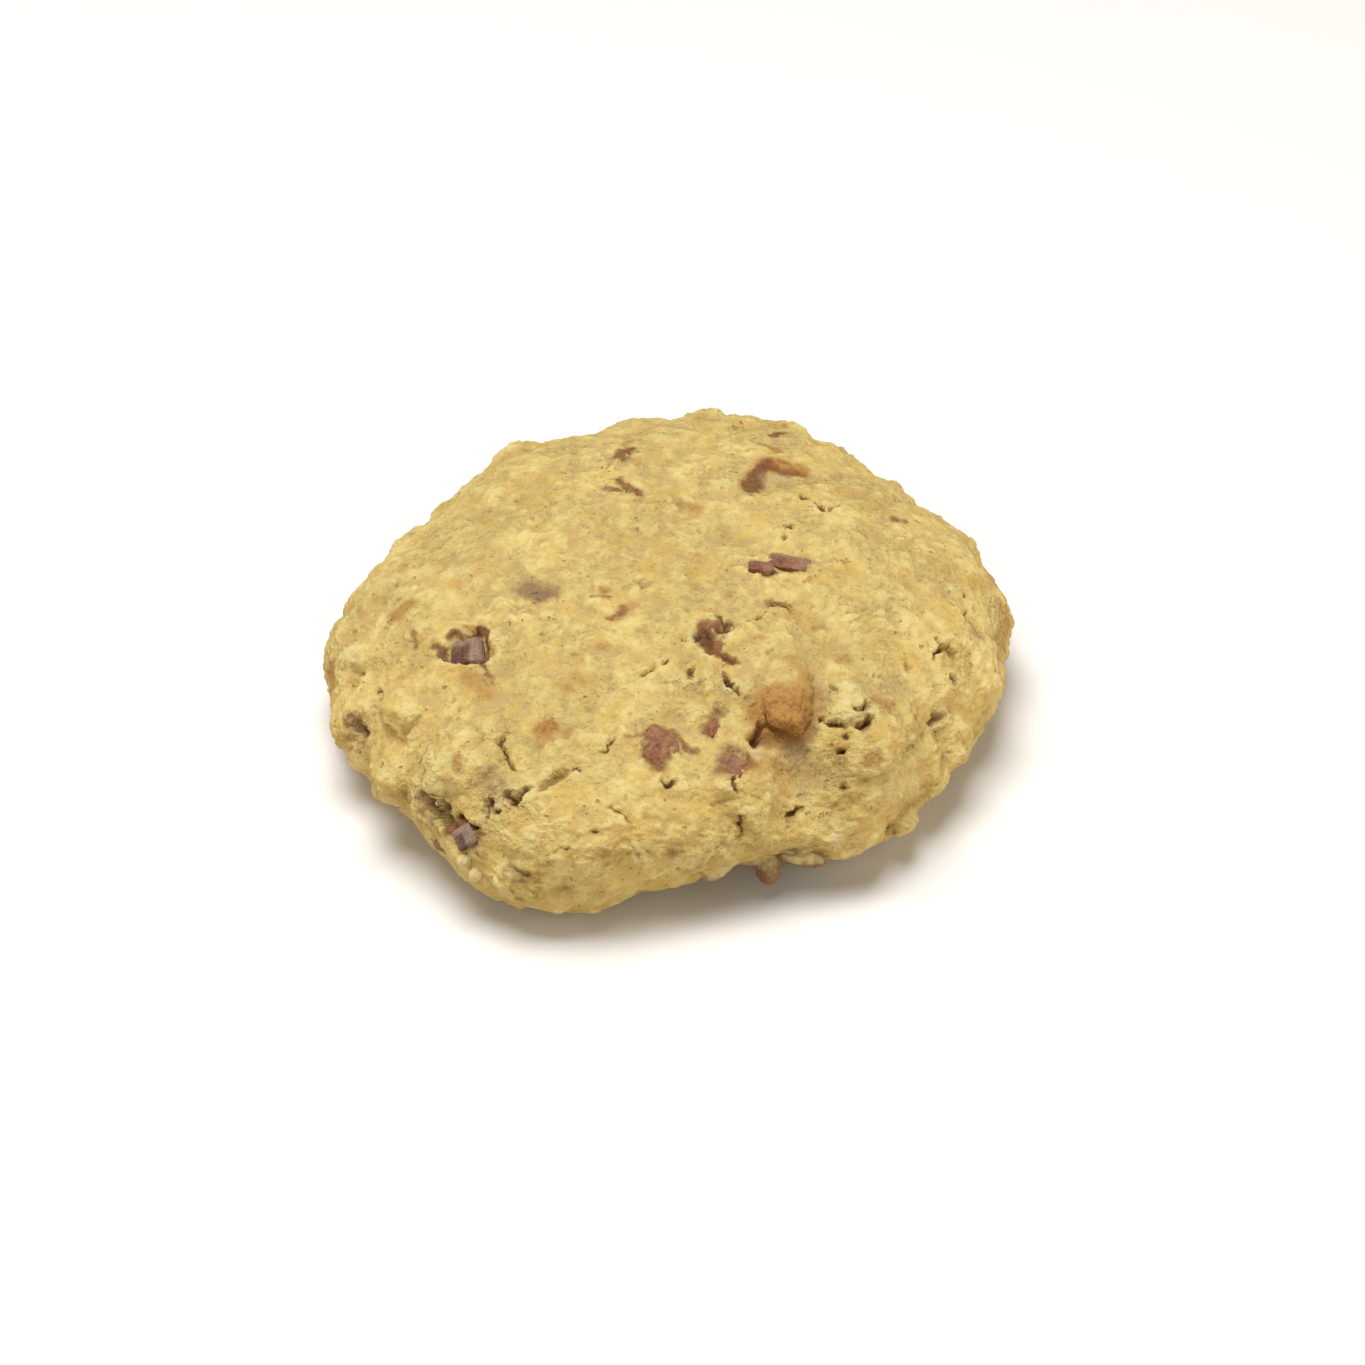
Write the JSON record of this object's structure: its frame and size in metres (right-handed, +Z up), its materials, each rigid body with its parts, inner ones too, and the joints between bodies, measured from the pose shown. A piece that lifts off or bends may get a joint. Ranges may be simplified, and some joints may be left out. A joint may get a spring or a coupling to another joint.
{
  "type": "peanut cookie",
  "caption": "Thick, craggy baked drop cookie with browned knobs, cracks, red-brown chunks set in its pale golden crust and a flat underside.",
  "frame": {"origin": "centre of the cookie's outline in plan, on the flat underside that rests on the table", "axes": "+Z up out of the crust, -Y towards the lip with the open gap below it, which the browned knob faces, and +X to the right when looking along +Y"},
  "size_m": [0.0798, 0.0818, 0.0219],
  "materials": {
    "baked_dough": "matt, rough and crumbly, with a faint oily sheen on the crust"
  },
  "bodies": {
    "root": {"cookie": "baked_dough"}
  },
  "joints": []
}
